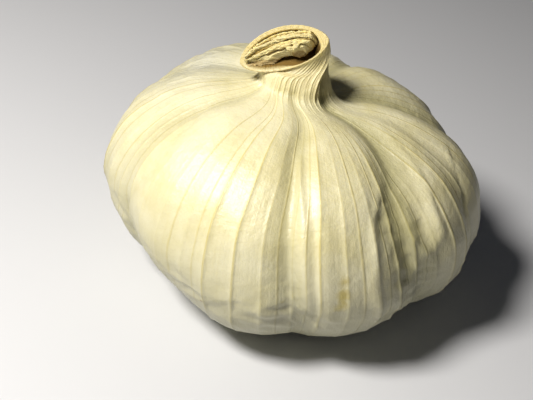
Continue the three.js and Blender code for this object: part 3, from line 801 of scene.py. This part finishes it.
bpy.ops.object.select_all(action="DESELECT")
bpy.ops.mesh.primitive_uv_sphere_add(
    segments=PLATE_COLUMNS, ring_count=len(PLATE_PROFILE) - 1, radius=1)
plate = bpy.context.object
plate.name = "root_plate_cork"
for vertex in plate.data.vertices:
    co = vertex.co
    row = round(math.acos(max(-1, min(1, co.z))) / math.pi * (len(PLATE_PROFILE) - 1))
    reach, height = PLATE_PROFILE[row]
    turn = math.atan2(co.y, co.x)
    around = Vector((math.cos(turn), math.sin(turn), 0))
    rough = noise.noise(around * reach * 1.4) + 0.5 * noise.noise(around * reach * 4)
    if 0 < height < 2:
        reach -= 0.12 * abs(rough)
        height += 0.12 * abs(rough) * (height < 1.2)
    vertex.co = (around * reach + Vector((0, 0, height))) * MILLIMETRE
root_draw = repeatable(5)
stubs = []
for number in range(ROOTS):
    turn = number * GOLDEN_ANGLE
    reach = ROOT_RING_START + ROOT_RING_WIDTH * math.sqrt((number + 0.5) / ROOTS)
    splay = 0.3 * next(root_draw)
    foot = 0.3 + 0.35 * next(root_draw)
    outwards = Vector((math.cos(turn), math.sin(turn), 0))
    top = outwards * reach + Vector((0, 0, 1.5))
    end = outwards * (reach + splay) + Vector((0, 0, foot))
    bpy.ops.mesh.primitive_cylinder_add(vertices=12, radius=1, depth=1, end_fill_type="TRIFAN")
    stub = bpy.context.object
    lean = (top - end).to_track_quat("Z", "Y")
    for vertex in stub.data.vertices:
        side = Vector((vertex.co.x, vertex.co.y, 0))
        lower = vertex.co.z < 0
        radius = (0.4 if lower else 0.48) * (1 + 0.18 * noise.noise(side * 1.5 + top))
        sunk = 0.16 if lower and side.length < 0.5 else 0
        ragged = 0.1 * noise.noise(side * 2 + top * 3) if lower else 0
        along_stub = (-0.5 if lower else 0.5) * (top - end).length + sunk + abs(ragged)
        place = (top + end) / 2 + lean @ Vector((side.x * radius, side.y * radius, along_stub))
        vertex.co = place * MILLIMETRE
    stubs.append(stub)
bpy.ops.object.select_all(action="DESELECT")
for stub in stubs:
    stub.select_set(True)
plate.select_set(True)
bpy.context.view_layer.objects.active = plate
bpy.ops.object.join()
bpy.ops.object.shade_smooth_by_angle(angle=math.radians(50))

# Cork: dull grey brown, rough and crumbly, darker in its pits, with darker patches here and there.
cork, tree, shader = new_material("root_plate_cork", 0.92)
place = add_node(tree, "ShaderNodeTexCoord").outputs["Object"]
crumb = add_node(tree, "ShaderNodeTexNoise", {"Scale": 1400.0, "Detail": 5.0, "Roughness": 0.7},
                 {"Vector": place})
patch = add_node(tree, "ShaderNodeTexNoise", {"Scale": 300.0, "Detail": 3.0}, {"Vector": place})
crumb_tone = ramp(tree, crumb.outputs[0],
                  [(0.35, linear("#7B6547")), (0.6, linear("#B49B70")), (0.8, linear("#CDB88D"))])
patch_mask = ramp(tree, patch.outputs[0], [(0.4, grey(0)), (0.65, grey(0.6))])
tree.links.new(mix(tree, patch_mask, crumb_tone, linear("#8F7D63")), shader.inputs["Base Color"])
crumb_bump = add_node(tree, "ShaderNodeBump", {"Strength": 0.7, "Distance": 0.0002},
                      {"Height": crumb.outputs[0]})
tree.links.new(crumb_bump.outputs[0], shader.inputs["Normal"])
plate.data.materials.append(cork)
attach(plate, "root")
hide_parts("root_plate")


# The studio: a pale floor, a soft key light from the left and front, and a weak even fill.
bpy.ops.object.select_all(action="DESELECT")
bpy.ops.mesh.primitive_plane_add(size=6, location=(0, 0, 0))
floor = bpy.context.object
floor.name = "pale_floor"
floor_paint, tree, shader = new_material("matt_pale_floor", 0.7)
shader.inputs["Base Color"].default_value = linear("#E2E4E9")
floor.data.materials.append(floor_paint)


def area_light(name, place, aim, size, power, colour):
    data = bpy.data.lights.new(name, "AREA")
    data.shape = "DISK"
    data.size = size
    data.energy = power
    data.color = linear(colour)[:3]
    light = bpy.data.objects.new(name, data)
    bpy.context.scene.collection.objects.link(light)
    light.location = place
    light.rotation_euler = (Vector(place) - Vector(aim)).to_track_quat("Z", "Y").to_euler()


area_light("key", (-0.148, -0.128, 0.236), (-0.01, -0.02, 0.01), 0.08, 1.09, "#FFFAF2")
area_light("fill", (0.1, -0.6, 0.6), (0, 0, 0.02), 0.6, 0.12, "#F2F4FF")
world = bpy.data.worlds.new("soft_room")
bpy.context.scene.world = world
world.use_nodes = True
world.node_tree.nodes["Background"].inputs[0].default_value = linear("#C9CCD6")
world.node_tree.nodes["Background"].inputs[1].default_value = 0.03
bpy.context.scene.view_settings.view_transform = "Standard"
